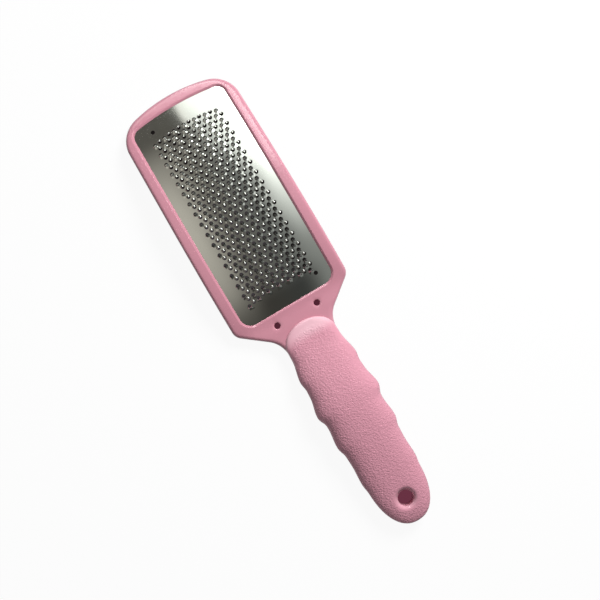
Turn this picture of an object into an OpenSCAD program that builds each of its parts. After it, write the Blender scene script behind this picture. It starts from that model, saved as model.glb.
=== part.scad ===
// Foot file: an arched, punched steel rasp plate held by its edge in a moulded
// frame, whose handle core is wrapped in a soft grip with finger waves.
// +Y points to the tip of the head and +Z away from the face that lies on a table.
// The origin is the middle of the footprint, on the table.

/* [Overall] */
// Length from the tip of the head to the end of the grip
overall_len = 253; // [235:1:275]

/* [Rasp plate] */
// Width of steel seen inside the rim
window_w = 53; // [48:0.5:58]
// Length of steel seen inside the rim
window_l = 119; // [112:0.5:126]
// Radius of the window's two corners at the tip
window_tip_r = 5; // [3:0.5:9]
// Radius of the window's two corners at the neck
window_neck_r = 6; // [3:0.5:9]
// Radius of the bowed window edge at the tip
window_bow_r = 137; // [110:1:200]
// Radius of the lengthwise bend, at the top of the steel
arch_r = 218; // [190:1:300]
// Thickness of the steel
sheet_t = 0.5; // [0.4:0.05:0.8]
// Width of steel hidden inside the rim, all round
flange_w = 3; // [2.5:0.1:3.6]
// Bore of the anchor holes in the hidden flange
anchor_d = 1.8; // [1.2:0.1:2]
// Greatest spacing of the anchor holes
anchor_pitch = 16; // [12:1:24]
// Bore of the two locating holes seen in the steel
locating_d = 2.2; // [1.5:0.1:3]
// Distance of the locating holes from the centre line of the pair
locating_x = 17.7; // [12:0.1:18.5]
// Distance of the locating holes from the middle of the pair, along the steel
locating_y = 52.9; // [52.9:0.1:54]
// How far the pair of locating holes lies to the right
locating_shift = 1.3; // [0:0.1:1.5]

/* [Teeth] */
// Rows of teeth along the plate
tooth_rows = 33; // [9:2:33]
// Half-pitch columns across the plate; each row fills every second one
tooth_cols = 26; // [10:4:26]
// Spacing of two teeth in one row
tooth_pitch = 3; // [2.8:0.05:3.2]
// Spacing of the rows
row_pitch = 3; // [2.8:0.05:3]
// How far the ends of a row fall behind its middle
row_sag = 2.4; // [0:0.1:2.8]
// Width of a raised tooth where it leaves the sheet
tooth_w = 2.5; // [2:0.1:2.6]
// Height of a raised tooth above the sheet
tooth_h = 0.75; // [0.4:0.05:1]
// Thickness of the steel left in a raised tooth
tooth_wall = 0.2; // [0.15:0.05:0.4]

/* [Frame] */
// Width of the rim beside the steel
rim_w = 6.9; // [6:0.1:9]
// Width of the rim at the tip
tip_rim_w = 7.1; // [6:0.1:9]
// Height of the rim's face above the steel
rim_over = 0.9; // [0.5:0.1:1.5]
// Depth of the rim below the top of the steel
rim_under = 4.5; // [3.5:0.1:6]
// Width of the bevel from the rim's face down to the steel
bevel_w = 1; // [0.5:0.1:2]
// Rounding of the frame's outer edges
edge_r = 1.9; // [1:0.1:2.2]
// Radius of the bowed tip
tip_bow_r = 82; // [70:1:120]
// Radius of the frame's two corners at the tip
tip_corner_r = 16; // [10:0.5:18]
// How much narrower the head is at the tip, on each side
tip_taper = 0.9; // [0:0.1:2]
// Radius of the frame's two corners at the neck
neck_corner_r = 6; // [4:0.5:10]
// Angle of the shoulders from the handle's length
shoulder_angle = 52; // [45:1:60]
// Radius of the hollow between shoulder and neck
neck_fillet_r = 13.8; // [10:0.2:16]
// Width of the neck where the grip starts
neck_w = 28.4; // [26:0.2:32]
// Bore of the two neck holes
neck_hole_d = 3.2; // [2:0.1:4]
// Distance of the neck holes from the centre line
neck_hole_x = 11.7; // [10.5:0.1:12.5]
// Distance of the neck holes from the window
neck_hole_gap = 6.2; // [5.5:0.1:7]

/* [Grip] */
// Distance from the window to the grip's tongue
tongue_gap = 10.4; // [9:0.1:13]
// Length of the rounded tongue
tongue_l = 10; // [8:0.5:12]
// Thickness of the soft layer
grip_wall = 1.8; // [1.2:0.1:2.4]
// Width of the grip in the palm, between finger bumps
palm_w = 32; // [30:0.5:36]
// Width of the grip near its end
rear_w = 29.8; // [28:0.2:33]
// Height of the grip's back at the neck
neck_top_z = 8.7; // [8.2:0.1:10]
// Height of the grip's back at the palm swell
palm_top_z = 17; // [15:0.5:20]
// Height of the grip's back at its end
rear_top_z = 11.5; // [10:0.5:13]
// Height of the grip's belly at the neck
neck_bottom_z = 0.4; // [0.2:0.1:1]
// Height of the grip's belly at its end
rear_bottom_z = 2; // [1:0.1:3]
// How far the tallest finger bump stands out
finger_h = 1.85; // [0:0.05:2.2]
// Length over which a finger bump rises
finger_rise = 11; // [8:0.5:14]
// Length over which a finger bump falls
finger_fall = 6; // [4:0.5:10]
// Bore of the hanging hole
hang_d = 8; // [5:0.5:9]
// Distance of the hanging hole from the grip's end
hang_gap = 13.5; // [12:0.5:16]
// Width of the dished mouth round the hanging hole
hang_mouth_d = 11.4; // [9.5:0.1:13]
// Diameter of the columns that key the grip to its core
key_d = 6; // [4:0.5:8]

/* [Hidden] */

// Space between the steel and its slot, and between the grip and its core
fit_gap = 0.1;
// How far a cutting tool runs past what it cuts
over = 1;

// Places along the length
tip_y = overall_len / 2;
head_y = tip_y - tip_rim_w - window_l / 2;
neck_y = head_y - window_l / 2;
grip_y = neck_y - tongue_gap;
grip_l = grip_y + overall_len / 2;

// Height of the steel at the crown of the arch, which puts the frame's tip on the table
foot_y = tip_y - head_y - edge_r;
crown_z = arch_r - sqrt(pow(arch_r - rim_under, 2) - pow(foot_y, 2));

// Height of a surface parallel to the steel, h above its top face
function arch_z(y, h) = sqrt(pow(arch_r + h, 2) - pow(y - head_y, 2)) - arch_r + crown_z;

// Smooth step from 0 to 1 as t goes from 0 to 1
function ease(t) = let (u = min(1, max(0, t))) u * u * (3 - 2 * u);
// Curve from (0, z0) with slope m0 to (len, z1) with slope m1
function bridge(d, len, z0, m0, z1, m1) = let (t = d / len)
  z0 * (1 + 2 * t) * pow(1 - t, 2) + m0 * len * t * pow(1 - t, 2)
  + z1 * t * t * (3 - 2 * t) + m1 * len * t * t * (t - 1);
// Points on an arc from angle a0 to a1, in n steps
function arc(x, y, r, a0, a1, n) =
  [for (i = [0:n]) let (a = a0 + (a1 - a0) * i / n) [x + r * cos(a), y + r * sin(a)]];
// A list without its first point, to join it to the one before
function tail(list) = [for (i = [1:len(list) - 1]) list[i]];

// Grip profiles, by the distance g from the tip of the tongue

// Where the finger bumps stand, and their heights, as shares
finger_place_shares = [0.227, 0.4, 0.556, 0.746];
finger_height_shares = [0.6, 1, 0.65, 0.36];
// Where the width and the height of the grip reach their greatest, as shares
palm_start_share = 0.34;
palm_end_share = 0.43;
swell_share = 0.41;
belly_start_share = 0.26;
belly_end_share = 0.64;
// Lengths of the rounded end, seen from above and from the side, as shares
round_plan_share = 0.22;
round_side_share = 0.15;
round_power_share = 2.25;

// Rounded closing of a profile over the last r of a length l
function closing(g, l, r) =
  g <= l - r ? 1 : pow(max(0, 1 - pow((g - l + r) / r, round_power_share)), 1 / round_power_share);
// Rounded opening of the tongue over its length
function opening(g) = g >= tongue_l ? 1 : sqrt(max(0, 1 - pow(1 - g / tongue_l, 2)));
// Half-width without finger bumps, for a body that ends at length l
function smooth_half_w(g, l) = closing(g, l, round_plan_share * grip_l) * (neck_w / 2
  + (palm_w - neck_w) / 2 * ease((g - tongue_l) / (palm_start_share * grip_l - tongue_l))
  - (palm_w - rear_w) / 2 * ease((g / grip_l - palm_end_share) / (1 - round_plan_share - palm_end_share)));
// One finger bump, at its own place, rising slowly and falling faster
function bump(g, i) =
  let (d = g - finger_place_shares[i] * grip_l, reach = d < 0 ? finger_rise : finger_fall)
  abs(d) >= reach ? 0 : finger_h * finger_height_shares[i] * (1 + cos(180 * d / reach)) / 2;
function bumps(g, i = 0) = i == len(finger_place_shares) ? 0 : bump(g, i) + bumps(g, i + 1);
// Heights of the grip's back and belly before the end is rounded
function back_z(g) = g < swell_share * grip_l
  ? neck_top_z + (palm_top_z - neck_top_z) * ease(g / (swell_share * grip_l))
  : palm_top_z + (rear_top_z - palm_top_z) * ease((g / grip_l - swell_share) / (1 - swell_share));
function belly_z(g) = neck_bottom_z * (1 - ease(g / (belly_start_share * grip_l)))
  + rear_bottom_z * ease((g / grip_l - belly_end_share) / (1 - belly_end_share));
function mid_z(g) = (back_z(g) + belly_z(g)) / 2;
function half_t(g) = (back_z(g) - belly_z(g)) / 2;

// The hanging hole
hang_g = grip_l - hang_gap;
hang_y = -overall_len / 2 + hang_gap;
hang_z = mid_z(hang_g);
eye_h = 2 * (half_t(hang_g) - grip_wall);
eye_d = hang_mouth_d + 2 * grip_wall;

// Places of the key columns along the grip, as shares of its length
key_place_shares = [0.3, 0.47, 0.64];

// Solid between loops of points, bottom loop first. Each loop runs clockwise, seen from
// above, from a point on the centre line, and its two halves mirror each other.
module stack(loops) {
  n = len(loops[0]);
  half = n / 2;
  top = (len(loops) - 1) * n;
  sides = [for (k = [0:len(loops) - 2], i = [0:n - 1])
    let (a = k * n + i, b = k * n + (i + 1) % n) each [[a, b, b + n], [a, b + n, a + n]]];
  first = [[0, n - 1, 1]];
  inner = [for (i = [1:half - 2]) each [[i, n - i, n - i - 1], [i, n - i - 1, i + 1]]];
  last = [[half - 1, half + 1, half]];
  low = concat(first, inner, last);
  high = [for (f = low) [top + f[0], top + f[2], top + f[1]]];
  polyhedron(points = [for (loop = loops) each loop], faces = concat(sides, low, high), convexity = 6);
}

// Both halves of a loop from its right half, at heights given point by point
function both_sides(half, z) = let (n = len(half) - 1) concat(
  [for (i = [0:n]) [half[i][0], half[i][1], z[i]]],
  [for (i = [n - 1:-1:1]) [-half[i][0], half[i][1], z[i]]]);

// Outward direction at each point of a half outline
function outward(half) = let (n = len(half) - 1) [for (i = [0:n])
  i == 0 ? [0, 1] : i == n ? [0, -1]
  : let (t = half[i + 1] - half[i - 1]) [-t[1], t[0]] / norm(t)];

// Right half of the window, pushed outwards by g
window_arc_n = 5;
function window_half(g) =
  let (c = [window_w / 2 - window_tip_r, head_y + window_l / 2 - window_bow_r],
       rise = sqrt(pow(window_bow_r - window_tip_r, 2) - pow(c[0], 2)),
       lean = atan2(rise, c[0]),
       low = neck_y + window_neck_r,
       high = c[1] + rise,
       steps = ceil((high - low) / (2 * row_pitch)))
  concat(
    arc(0, c[1], window_bow_r + g, 90, lean, window_arc_n),
    tail(arc(c[0], high, window_tip_r + g, lean, 0, window_arc_n)),
    [for (i = [1:steps - 1]) [window_w / 2 + g, high + (low - high) * i / steps]],
    arc(window_w / 2 - window_neck_r, low, window_neck_r + g, 0, -90, window_arc_n),
    [[0, neck_y - g]]);

// Rasp plate

// Bent sheet between heights h0 and h1 above the steel's top face, flat across, with
// one bend to every row of teeth
module bent_sheet(h0, h1) {
  step = row_pitch / arch_r * 180 / PI;
  n = ceil((window_l / 2 + flange_w + over) / row_pitch);
  rotate([90, 0, 90]) translate([head_y, crown_z - arch_r, -window_w])
    linear_extrude(2 * window_w) polygon(concat(
      [for (i = [-n:n]) (arch_r + h1) * [sin((i + 0.5) * step), cos((i + 0.5) * step)]],
      [for (i = [n:-1:-n]) (arch_r + h0) * [sin((i + 0.5) * step), cos((i + 0.5) * step)]]));
}

// The sheet cut to its outline, grown by gap on every side
module plate_blank(gap) {
  intersection() {
    bent_sheet(-sheet_t - gap, gap);
    linear_extrude(crown_z + over) outline(window_half(flange_w + gap));
  }
}

// Flat shape from its right half
module outline(half) {
  polygon(concat(half, [for (i = [len(half) - 2:-1:1]) [-half[i][0], half[i][1]]]));
}

// Places on the flange where the frame's plastic runs through the steel
anchor_inset = flange_w / 2;
anchor_rows = ceil((window_l - 2 * window_neck_r) / anchor_pitch);
anchor_cols = ceil((window_w - 4 * window_neck_r) / anchor_pitch);
module at_anchors() {
  for (side = [-1, 1]) {
    for (i = [0:anchor_rows])
      translate([side * (window_w / 2 + anchor_inset),
                 neck_y + window_neck_r + (window_l - 2 * window_neck_r) * i / anchor_rows]) children();
    for (i = [0:anchor_cols])
      translate([(window_w / 2 - 2 * window_neck_r) * (2 * i / anchor_cols - 1),
                 head_y + side * (window_l / 2 + anchor_inset) - (side > 0 ? tip_drop(i) : 0)]) children();
  }
}
// Fall of the bowed window edge at an anchor
function tip_drop(i) = let (x = (window_w / 2 - 2 * window_neck_r) * (2 * i / anchor_cols - 1))
  window_bow_r - sqrt(pow(window_bow_r, 2) - x * x);

// Puts its children on the steel: x across, s along the bend, +Z out of the face
module on_steel(x, s) {
  translate([x, head_y, crown_z - arch_r]) rotate([-s / arch_r * 180 / PI, 0, 0])
    translate([0, 0, arch_r]) children();
}

// Every tooth, with the pairs of columns facing opposite ways by turns
module at_teeth() {
  mid_col = (tooth_cols - 1) / 2;
  for (row = [0:tooth_rows - 1], col = [row % 2:2:tooth_cols - 1])
    on_steel((col - mid_col) * tooth_pitch / 2,
             ((tooth_rows - 1) / 2 - row) * row_pitch - row_sag * pow((col - mid_col) / mid_col, 2))
      rotate([0, 0, floor((col + 1) / 2) % 2 == 0 ? 0 : 180]) children();
}

// A tooth is the rear half of a small dome, pushed up from below with a round tool
dome_r = (pow(tooth_w / 2, 2) + pow(tooth_h, 2)) / (2 * tooth_h);
dome_z = tooth_h - dome_r;
dome_fn = 24;
module tooth() {
  intersection() {
    translate([0, 0, dome_z]) sphere(dome_r, $fn = dome_fn);
    translate([-tooth_w, -tooth_w, -sheet_t / 2]) cube([2 * tooth_w, tooth_w, 2 * tooth_h]);
  }
}
module punch() {
  translate([0, 0, dome_z]) sphere(dome_r - tooth_wall, $fn = dome_fn);
}

module rasp_plate() color("silver") {
  difference() {
    union() {
      plate_blank(0);
      at_teeth() tooth();
    }
    at_teeth() punch();
    at_anchors() cylinder(d = anchor_d + 2 * fit_gap, h = 2 * crown_z, $fn = 24);
    for (side = [-1, 1])
      on_steel(locating_shift - side * locating_x, side * locating_y)
        translate([0, 0, -over]) cylinder(d = locating_d, h = 2 * over, $fn = 32);
  }
}

// Frame

// Right half of the frame's outline, from the tip to the end of the core
arc_n = 7;
function frame_half() =
  let (half = window_w / 2 + rim_w,
       tip_c = [half - tip_corner_r, tip_y - tip_bow_r],
       rise = sqrt(pow(tip_bow_r - tip_corner_r, 2) - pow(tip_c[0], 2)),
       lean = atan2(rise, tip_c[0]),
       tip_low = tip_c[1] + rise,
       neck_half = neck_w / 2,
       neck_end = grip_y - tongue_l,
       slope = tan(shoulder_angle),
       fillet_y = neck_end - core_step,
       fillet_top = [neck_half + neck_fillet_r * (1 - cos(shoulder_angle)),
                     fillet_y + neck_fillet_r * sin(shoulder_angle)],
       corner_in = neck_corner_r * (1 - cos(shoulder_angle)),
       corner_low = fillet_top[1] + (half - corner_in - fillet_top[0]) / slope,
       corner_y = corner_low + neck_corner_r * sin(shoulder_angle),
       steps = ceil((tip_low - corner_y) / (2 * row_pitch)),
       core_l = grip_l - grip_wall,
       core_end = core_l - tongue_l - 2 * core_step)
  concat(
    [for (p = concat(
      arc(0, tip_c[1], tip_bow_r, 90, lean, arc_n),
      tail(arc(tip_c[0], tip_low, tip_corner_r, lean, 0, arc_n)),
      [for (i = [1:steps - 1]) [half, tip_low + (corner_y - tip_low) * i / steps]]))
      [p[0] * (1 - tip_taper / half * ease((p[1] - head_y + window_l / 2) / window_l)), p[1]]],
    arc(half - neck_corner_r, corner_y, neck_corner_r, 0, -shoulder_angle, arc_n),
    arc(neck_half + neck_fillet_r, fillet_y, neck_fillet_r, 180 - shoulder_angle, 180, arc_n),
    [for (i = [1:step_n]) core_point(tongue_l + core_step * (1 + i / step_n), core_l)],
    [for (i = [1:core_n]) core_point(tongue_l + 2 * core_step + core_end * sin(90 * i / core_n), core_l)]);
// The core steps in by the grip's wall over this length
core_step = grip_wall;
step_n = 3;
core_n = 15;
function core_point(g, l) =
  [max(0, smooth_half_w(g, l) - grip_wall * ease((g - tongue_l - core_step) / core_step)
    * closing(g, l, round_plan_share * grip_l)), grip_y - g];

// Height of the frame's upper and lower face along the length
function frame_top(y) = y > neck_y - bevel_w ? arch_z(y, rim_over)
  : y > grip_y ? bridge(neck_y - bevel_w - y, tongue_gap - bevel_w, arch_z(neck_y - bevel_w, rim_over),
      -(window_l / 2 + bevel_w) / arch_r, neck_top_z - grip_wall, 0)
  : mid_z(grip_y - y) + core_half(grip_y - y);
function frame_bottom(y) = y > neck_y - bevel_w ? arch_z(y, -rim_under)
  : y > grip_y ? bridge(neck_y - bevel_w - y, tongue_gap - bevel_w, arch_z(neck_y - bevel_w, -rim_under),
      -(window_l / 2 + bevel_w) / arch_r, neck_bottom_z + grip_wall, 0)
  : mid_z(grip_y - y) - core_half(grip_y - y);
function core_half(g) = (half_t(g) - grip_wall) * closing(g, grip_l - grip_wall, round_side_share * grip_l);

// Rounding of the edges: the same all round the head, fuller on the core
full_round_share = 0.46;
core_round_share = 0.25;
function round_r(y) = let (t = frame_top(y) - frame_bottom(y))
  min(full_round_share * t, edge_r + core_round_share * t * ease((grip_y - y) / tongue_l));

// The frame before anything is cut from it, grown by gap on every side
round_n = 3;
module frame_skin(gap) {
  half = frame_half();
  out = outward(half);
  loop = function (side, a) let (
    inset = [for (i = [0:len(half) - 1]) round_r(half[i][1]) * (1 - cos(a)) - gap],
    pts = [for (i = [0:len(half) - 1])
      [i == 0 || i == len(half) - 1 ? 0 : max(0, half[i][0] - inset[i] * out[i][0]),
       half[i][1] - inset[i] * out[i][1]]],
    z = [for (i = [0:len(half) - 1]) let (y = half[i][1], r = round_r(y), yy = pts[i][1])
      side > 0 ? frame_top(yy) + gap - r * (1 - sin(a)) : frame_bottom(yy) - gap + r * (1 - sin(a))])
    both_sides(pts, z);
  stack(concat(
    [for (k = [round_n:-1:0]) loop(-1, 90 * k / round_n)],
    [for (k = [0:round_n]) loop(1, 90 * k / round_n)]));
}

// The window, cut straight through and bevelled from the steel up to the rim's face
module window_cut() {
  at = window_half(0);
  wide = window_half(2 * bevel_w);
  stack([
    both_sides(at, [for (p = at) -over]),
    both_sides(at, [for (p = at) arch_z(p[1], 0)]),
    both_sides(wide, [for (p = wide) arch_z(p[1], 2 * rim_over)]),
    both_sides(wide, [for (p = wide) crown_z + 3 * rim_over])]);
}

module key_columns(gap) {
  for (share = key_place_shares)
    translate([0, grip_y - share * grip_l, mid_z(share * grip_l)])
      cylinder(d = key_d + 2 * gap, h = 2 * half_t(share * grip_l) - grip_wall, center = true, $fn = 32);
}

module frame() color("pink") {
  difference() {
    union() {
      frame_skin(0);
      translate([0, hang_y, hang_z]) cylinder(d = eye_d, h = eye_h, center = true, $fn = 48);
    }
    window_cut();
    difference() {
      plate_blank(fit_gap);
      at_anchors() cylinder(d = anchor_d, h = 2 * crown_z, $fn = 24);
    }
    for (side = [-1, 1])
      translate([side * neck_hole_x, neck_y - neck_hole_gap, -over])
        cylinder(d = neck_hole_d, h = crown_z, $fn = 32);
    translate([0, hang_y, -over]) cylinder(d = hang_d, h = palm_top_z, $fn = 48);
    key_columns(fit_gap);
  }
}

// Grip

// One cross-section: a rounded block at the tongue that turns into a flattened oval
section_n = 32;
section_pitch = 2.4;
tongue_n = 8;
end_n = 9;
// The last cross-sections follow a quarter turn that stops short of its end
end_l = 10;
end_angle = 80;
skin_l = grip_l + end_l * (1 - sin(end_angle));
body_n = ceil((skin_l - tongue_l - end_l) / section_pitch);
tongue_power_share = 5;
oval_power_share = 2.5;
function section(g) =
  let (w = opening(g) * (smooth_half_w(g, skin_l) + bumps(g) * closing(g, skin_l, round_plan_share * grip_l)),
       edge = g >= grip_wall ? 0 : grip_wall - sqrt(pow(grip_wall, 2) - pow(grip_wall - g, 2)),
       t = half_t(g) * closing(g, skin_l, round_side_share * grip_l) - edge,
       e = 2 / (tongue_power_share + (oval_power_share - tongue_power_share) * ease(g / (2 * tongue_l))))
  [for (i = [0:section_n - 1]) let (a = 360 * i / section_n, c = cos(a), s = sin(a))
    [w * sign(c) * pow(abs(c), e), grip_y - g, mid_z(g) + t * sign(s) * pow(abs(s), e)]];

module grip_skin() {
  stations = concat(
    [for (i = [1:tongue_n]) tongue_l * (1 - cos(90 * i / tongue_n))],
    [for (i = [1:body_n]) tongue_l + (skin_l - tongue_l - end_l) * i / body_n],
    [for (i = [1:end_n]) skin_l - end_l + end_l * sin(end_angle * i / end_n)]);
  n = section_n;
  last = len(stations) - 1;
  polyhedron(
    points = [for (g = stations) each section(g)],
    faces = concat(
      [for (k = [0:last - 1], i = [0:n - 1]) let (a = k * n + i, b = k * n + (i + 1) % n)
        each [[a, a + n, b + n], [a, b + n, b]]],
      [[for (i = [0:n - 1]) i], [for (i = [n - 1:-1:0]) last * n + i]]),
    convexity = 6);
}

// The dished mouth, whose curve runs down into the bore
module hang_mouth() {
  flare = (hang_mouth_d - hang_d) / 2;
  rotate_extrude($fn = 48) difference() {
    square([hang_d / 2 + flare, eye_h / 2 + flare + palm_top_z]);
    translate([hang_d / 2 + flare, eye_h / 2]) circle(flare, $fn = 32);
    translate([hang_d / 2, -over]) square([2 * flare, over + eye_h / 2]);
  }
}

module grip() color("lightpink") {
  difference() {
    union() {
      difference() {
        grip_skin();
        frame_skin(fit_gap);
        translate([0, hang_y, hang_z])
          cylinder(d = eye_d + 2 * fit_gap, h = eye_h + 2 * fit_gap, center = true, $fn = 48);
      }
      key_columns(0);
    }
    for (side = [0, 180]) translate([0, hang_y, hang_z]) rotate([0, side, 0]) hang_mouth();
  }
}

rasp_plate();
frame();
grip();
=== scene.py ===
"""Foot file: an arched, punched steel rasp plate in a moulded frame, with a soft textured grip.

Run as a script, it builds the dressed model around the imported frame: one operator for each
piece, and one for the camera, the floor, what the steel mirrors and the light.
"""
import math

import bmesh
import bpy
import numpy as np
from mathutils import Matrix, Vector
from mathutils.geometry import delaunay_2d_cdt


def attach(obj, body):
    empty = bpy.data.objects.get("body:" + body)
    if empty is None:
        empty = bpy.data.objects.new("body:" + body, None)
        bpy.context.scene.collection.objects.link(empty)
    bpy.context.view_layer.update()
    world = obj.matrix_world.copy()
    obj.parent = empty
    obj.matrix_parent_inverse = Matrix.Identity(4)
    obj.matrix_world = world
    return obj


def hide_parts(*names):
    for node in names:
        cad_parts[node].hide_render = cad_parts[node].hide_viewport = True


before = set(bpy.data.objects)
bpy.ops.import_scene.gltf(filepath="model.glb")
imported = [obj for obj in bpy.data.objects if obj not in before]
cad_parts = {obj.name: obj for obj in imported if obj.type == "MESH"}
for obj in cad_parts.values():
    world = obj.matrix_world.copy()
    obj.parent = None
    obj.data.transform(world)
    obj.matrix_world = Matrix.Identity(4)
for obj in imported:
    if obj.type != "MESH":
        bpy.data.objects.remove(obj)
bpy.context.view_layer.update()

bl_info = {
    "name": "Foot file",
    "version": (1, 0, 0),
    "blender": (4, 5, 0),
    "location": "3D View > Sidebar > Foot file",
    "description": "Builds a foot file: punched rasp plate, moulded frame and soft grip",
    "category": "Add Mesh",
}

# Lengths in this file are in millimetres until a mesh is made
MM = 0.001

# Grid on which points that coincide are joined, the least square length that is divided by, and
# how near two outlines may come before a fill takes them to cross
WELD, TINY, CROSSING_TINY = 1e-4, 1e-12, 1e-7

# Overall
OVERALL_L = 253.0
TIP_Y = OVERALL_L / 2

# Steel: the window in the rim, the bend, the hidden flange, the locating holes, and the turns in
# radians per millimetre of its slight waves
WINDOW_W, WINDOW_L = 53.0, 119.0
WINDOW_TIP_R, WINDOW_NECK_R, WINDOW_BOW_R = 5.0, 6.0, 137.0
ARCH_R = 218.0
SHEET_T = 0.5
FLANGE_W = 3.0
LOCATING_R, LOCATING_X, LOCATING_Y, LOCATING_SHIFT = 1.1, 17.7, 52.9, 1.3
WAVE_X, WAVE_S, WAVE_START = 0.35, 0.21, 1.0

# Teeth
ROWS, COLS = 33, 26
TOOTH_PITCH, ROW_PITCH, ROW_SAG = 3.0, 3.0, 2.4
TOOTH_R, TOOTH_H, TOOTH_WALL = 1.25, 0.75, 0.2
# Steps round half a tooth, and where the rows up its back and down its inner wall lie
TOOTH_STEPS = 12
BACK_SHARES, WALL_SHARES = (0.18, 0.4, 0.62, 0.82), (0.3, 0.6)
# How far the back of a tooth is drawn from its dome to a straight ramp, by the end it opens to
TIP_RAMP, HANDLE_RAMP = 0.7, 0.3

# Frame
RIM_W, TIP_RIM_W, RIM_OVER, RIM_UNDER, BEVEL_W, EDGE_R = 6.9, 7.1, 0.9, 4.5, 1.0, 1.9
TIP_BOW_R, TIP_CORNER_R, TIP_TAPER = 82.0, 16.0, 0.9
NECK_CORNER_R, SHOULDER_ANGLE, NECK_FILLET_R, NECK_W = 6.0, 52.0, 13.8, 28.4
NECK_HOLE_R, NECK_HOLE_X, NECK_HOLE_GAP, NECK_HOLE_SOFT = 1.6, 11.7, 6.2, 0.5
FIT_GAP, CORE_GAP, WINDOW_SOFT = 0.1, 0.04, 0.22

# Grip
TONGUE_GAP, TONGUE_L, GRIP_WALL = 10.4, 10.0, 1.8
PALM_W, REAR_W = 32.0, 29.8
NECK_TOP_Z, PALM_TOP_Z, REAR_TOP_Z = 8.7, 17.0, 11.5
NECK_BOTTOM_Z, REAR_BOTTOM_Z = 0.4, 2.0
FINGER_H, FINGER_RISE, FINGER_FALL = 1.85, 11.0, 6.0
FINGER_PLACE_SHARES = (0.227, 0.4, 0.556, 0.746)
FINGER_HEIGHT_SHARES = (0.6, 1.0, 0.65, 0.36)
HANG_R, HANG_GAP, HANG_MOUTH_R, HANG_PATCH = 4.0, 13.5, 5.7, 9.0
PALM_START_SHARE, PALM_END_SHARE, SWELL_SHARE = 0.34, 0.43, 0.41
BELLY_START_SHARE, BELLY_END_SHARE = 0.26, 0.64
ROUND_PLAN_SHARE, ROUND_SIDE_SHARE, ROUND_POWER = 0.22, 0.15, 2.25
TONGUE_POWER, OVAL_POWER, MOUTH_POWER = 5.0, 2.5, 1.15
FULL_ROUND_SHARE, CORE_ROUND_SHARE = 0.46, 0.25

# The grip's grain: the arc that bounds it at the tongue, its smooth edge, and how it fades in
GRAIN_ARC_R, GRAIN_EDGE = 17.0, 3.2
GRAIN_FADE, GRAIN_LONG_FADE, GRAIN_HOLE_FADE = 2.5, 4.0, 1.5

# Steps of the outlines and of the fills, and how near a fill's own points come to its edge, as a
# share of a step
OUTLINE_STEP, FILL_REACH_SHARE = 2.0, 0.55
SHEET_TOP_STEP, SHEET_LOW_STEP, FRAME_TOP_STEP, FRAME_LOW_STEP, GRIP_STEP = 1.5, 2.0, 1.6, 2.2, 1.1
# Steps round the grip, and how many on either side of the hanging hole its patch takes up
RING_STEPS, PATCH_STEPS = 96, 9

# Places along the length
HEAD_Y = TIP_Y - TIP_RIM_W - WINDOW_L / 2
NECK_Y = HEAD_Y - WINDOW_L / 2
GRIP_Y = NECK_Y - TONGUE_GAP
GRIP_L = GRIP_Y + TIP_Y
CROWN_Z = ARCH_R - math.sqrt((ARCH_R - RIM_UNDER) ** 2 - (TIP_Y - HEAD_Y - EDGE_R) ** 2)
HANG_G = GRIP_L - HANG_GAP
HANG_Y = GRIP_Y - HANG_G


# Formulas of the shape, on whole arrays


def ease(t):
    """Smooth step from 0 to 1: u squared times 3 less 2u, with u kept between 0 and 1."""
    u = np.clip(t, 0, 1)
    return u * u * (3 - 2 * u)


def bridge(d, length, z0, m0, z1, m1):
    """Cubic from height z0 and slope m0 at d = 0 to height z1 and slope m1 at d = length."""
    t = d / length
    return (z0 * (1 + 2 * t) * (1 - t) ** 2 + m0 * length * t * (1 - t) ** 2
            + z1 * t * t * (3 - 2 * t) + m1 * length * t * t * (t - 1))


def arch_z(y, h):
    """Height of the circle of radius ARCH_R + h whose centre lies below the head's middle."""
    return np.sqrt((ARCH_R + h) ** 2 - (y - HEAD_Y) ** 2) - ARCH_R + CROWN_Z


def closing(g, length, r):
    """1 up to r before the end, then a superellipse quarter that falls to 0 at the end."""
    t = np.clip((g - length + r) / r, 0, 1)
    return (1 - t ** ROUND_POWER) ** (1 / ROUND_POWER)


def smooth_half_w(g, length):
    """Half-width of the grip without its waves: eases from neck to palm to rear, then closes."""
    start = PALM_START_SHARE * GRIP_L - TONGUE_L
    wide = (PALM_W - NECK_W) / 2 * ease((g - TONGUE_L) / start)
    narrow = (PALM_W - REAR_W) / 2 * ease(
        (g / GRIP_L - PALM_END_SHARE) / (1 - ROUND_PLAN_SHARE - PALM_END_SHARE))
    return closing(g, length, ROUND_PLAN_SHARE * GRIP_L) * (NECK_W / 2 + wide - narrow)


def finger_waves(g):
    """Sum of one cosine bump at each finger's place, with a slow rise and a faster fall."""
    total = np.zeros_like(g)
    for place, share in zip(FINGER_PLACE_SHARES, FINGER_HEIGHT_SHARES):
        d = g - place * GRIP_L
        reach = np.where(d < 0, FINGER_RISE, FINGER_FALL)
        bump = FINGER_H * share * (1 + np.cos(np.pi * d / reach)) / 2
        total += np.where(np.abs(d) < reach, bump, 0)
    return total


def back_z(g):
    """Height of the grip's back: eases up to the palm swell, then down to the end."""
    up = NECK_TOP_Z + (PALM_TOP_Z - NECK_TOP_Z) * ease(g / (SWELL_SHARE * GRIP_L))
    down = PALM_TOP_Z + (REAR_TOP_Z - PALM_TOP_Z) * ease(
        (g / GRIP_L - SWELL_SHARE) / (1 - SWELL_SHARE))
    return np.where(g < SWELL_SHARE * GRIP_L, up, down)


def belly_z(g):
    """Height of the grip's belly: eases down to the table in the palm and up at the end."""
    return (NECK_BOTTOM_Z * (1 - ease(g / (BELLY_START_SHARE * GRIP_L)))
            + REAR_BOTTOM_Z * ease((g / GRIP_L - BELLY_END_SHARE) / (1 - BELLY_END_SHARE)))


def mid_z(g):
    """Height of the grip's middle, halfway between its back and its belly."""
    return (back_z(g) + belly_z(g)) / 2


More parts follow.
